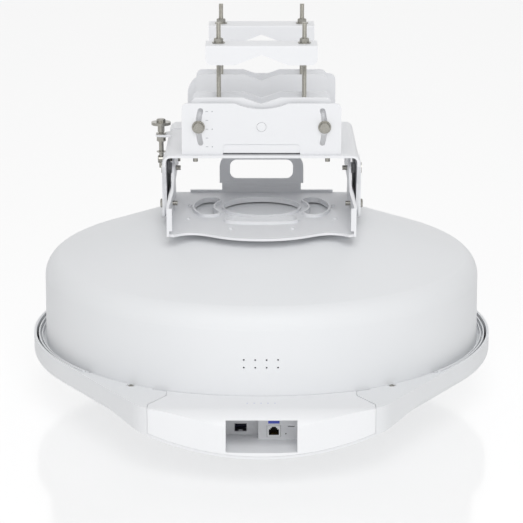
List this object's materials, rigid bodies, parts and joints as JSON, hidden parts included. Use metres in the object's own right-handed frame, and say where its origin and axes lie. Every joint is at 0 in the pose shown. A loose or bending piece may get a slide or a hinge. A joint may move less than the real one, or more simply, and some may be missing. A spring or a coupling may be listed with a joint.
{
  "type": "outdoor wireless bridge",
  "caption": "Round dish radio with a drum back, a socket bay in its chin and a folded-steel pole bracket that tilts, turns and clamps.",
  "frame": {"origin": "middle of the radome's flat face, on the surface that the bridge lies on", "axes": "+Z along the dish axis towards the bracket, -Y towards the socket bay, +X to the right when looking along +Y"},
  "size_m": [0.5879, 0.65, 0.4976],
  "materials": {
    "white_plastic": "fine matt moulding",
    "housing_plastic": "fine matt moulding",
    "bracket_paint": "satin powder coat",
    "zinc_steel": "zinc plated",
    "black_plastic": "moulded",
    "navy_plastic": "moulded",
    "gold": "plated contacts",
    "nickel_sheet": "plated sheet",
    "label_film": "printed film",
    "board": "solder mask",
    "light_pipe": "clear moulding",
    "aluminium": "spun",
    "lens_plastic": "turned",
    "membrane": "woven patch",
    "seal_rubber": "moulded"
  },
  "bodies": {
    "dish": {"radome": "white_plastic", "rear_housing": "housing_plastic", "chin_housing": "white_plastic", "port_bay": "white_plastic", "rj45_jack": "white_plastic", "jack_insert": "black_plastic", "sfp_latch": "nickel_sheet", "rj45_contacts": "gold", "sfp_cage": "nickel_sheet", "sfp_connector": "navy_plastic", "port_label": "label_film", "reset_switch": "black_plastic", "port_board": "board", "led_light_pipes": "light_pipe", "reflector": "aluminium", "reflector_clips": "white_plastic", "feed_waveguide": "aluminium", "feed_lens": "lens_plastic", "subreflector": "aluminium", "radio_board": "board", "heat_spreader": "aluminium", "vent_membrane": "membrane", "rim_gasket": "seal_rubber", "housing_screws": "zinc_steel", "plate_screws": "bracket_paint", "tilt_plate": "bracket_paint", "pivot_bolts": "zinc_steel", "pivot_nuts": "zinc_steel", "lock_bolts": "zinc_steel", "lock_nuts": "zinc_steel"},
    "reset": {"reset_button": "black_plastic"},
    "yoke_frame": {"yoke": "bracket_paint", "side_plates": "bracket_paint", "pivot_spacers": "bracket_paint", "azimuth_bracket": "bracket_paint", "bracket_bolts": "zinc_steel", "bracket_nuts": "zinc_steel", "screw_washer": "zinc_steel"},
    "adjuster": {"adjust_screw": "zinc_steel", "screw_nut": "zinc_steel"},
    "swivel": {"swivel_nut": "zinc_steel", "stop_washer": "zinc_steel"},
    "saddle": {"saddle_near": "bracket_paint", "saddle_far": "bracket_paint", "saddle_tray": "bracket_paint", "tray_rivets": "zinc_steel", "studs": "zinc_steel", "stud_nuts": "zinc_steel", "turn_bolts": "zinc_steel", "turn_washers": "zinc_steel", "turn_nuts": "zinc_steel", "azimuth_pins": "bracket_paint"},
    "near_jaw": {"jaw_near": "bracket_paint", "jaw_nuts_near": "zinc_steel", "jaw_washers_near": "zinc_steel"},
    "far_jaw": {"jaw_far": "bracket_paint", "jaw_nuts_far": "zinc_steel", "jaw_washers_far": "zinc_steel"}
  },
  "joints": [
    {"name": "tilt", "type": "hinge", "parent": "dish", "child": "yoke_frame", "pos_m": [0, -0.025, 0.309], "axis": [1, 0, 0], "range_deg": [-10, 5]},
    {"name": "azimuth", "type": "hinge", "parent": "yoke_frame", "child": "saddle", "pos_m": [0, 0.027, 0.3727], "axis": [0, 1, 0], "range_deg": [-15, 15]},
    {"name": "near_jaw_slide", "type": "slide", "parent": "saddle", "child": "near_jaw", "axis": [0, 0, 1], "range_m": [-0.034, 0.016]},
    {"name": "far_jaw_slide", "type": "slide", "parent": "saddle", "child": "far_jaw", "axis": [0, 0, 1], "range_m": [-0.034, 0.016]},
    {"name": "screw_turn", "type": "hinge", "parent": "yoke_frame", "child": "adjuster", "pos_m": [-0.1295, 0.045, 0.33], "axis": [0, 0, 1], "continuous": true},
    {"name": "swivel_travel", "type": "slide", "parent": "yoke_frame", "child": "swivel", "axis": [0, 0, 1], "range_m": [-0.0062, 0.0123]},
    {"name": "reset_press", "type": "slide", "parent": "dish", "child": "reset", "axis": [0, 1, 0], "range_m": [0, 0.0006], "stiffness_N_per_m": 1200, "springref_m": -0.0004}
  ],
  "couplings": [
    {"joint": "swivel_travel", "follows": "tilt", "m_per_rad": -0.07}
  ]
}
